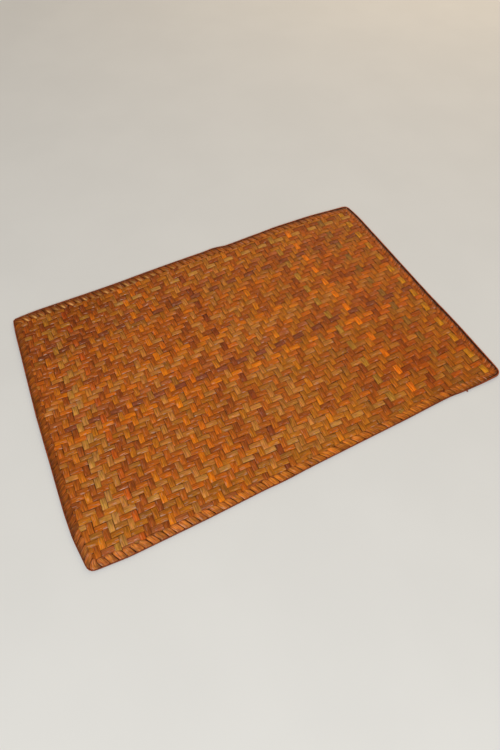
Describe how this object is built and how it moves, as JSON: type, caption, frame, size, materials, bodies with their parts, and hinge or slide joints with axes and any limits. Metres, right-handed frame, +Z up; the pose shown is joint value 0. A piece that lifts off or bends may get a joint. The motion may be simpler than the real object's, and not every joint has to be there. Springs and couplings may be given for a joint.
{
  "type": "pandanus mat",
  "caption": "Rectangular place mat of flat pandanus strips plaited in twill, with rounded corners and a whipped, slightly raised edge.",
  "frame": {"origin": "on the surface the mat lies on, under the middle of its box", "axes": "+X along the mat's long side, +Y along its short side away from the viewer, +Z up out of the right side of the plait"},
  "size_m": [0.4506, 0.3034, 0.0032],
  "materials": {
    "pandanus_plait": "dyed and smoked plant strip, satin, each strip its own brown, ochre or orange",
    "pandanus_whipping": "orange-brown plant strip, satin, with fibre lines along it",
    "pandanus_rim": "dark reddish-brown plant strip, satin"
  },
  "bodies": {
    "root": {"woven_panel": "pandanus_plait", "edge_binding": "pandanus_whipping", "rim_strand": "pandanus_rim"}
  },
  "joints": []
}
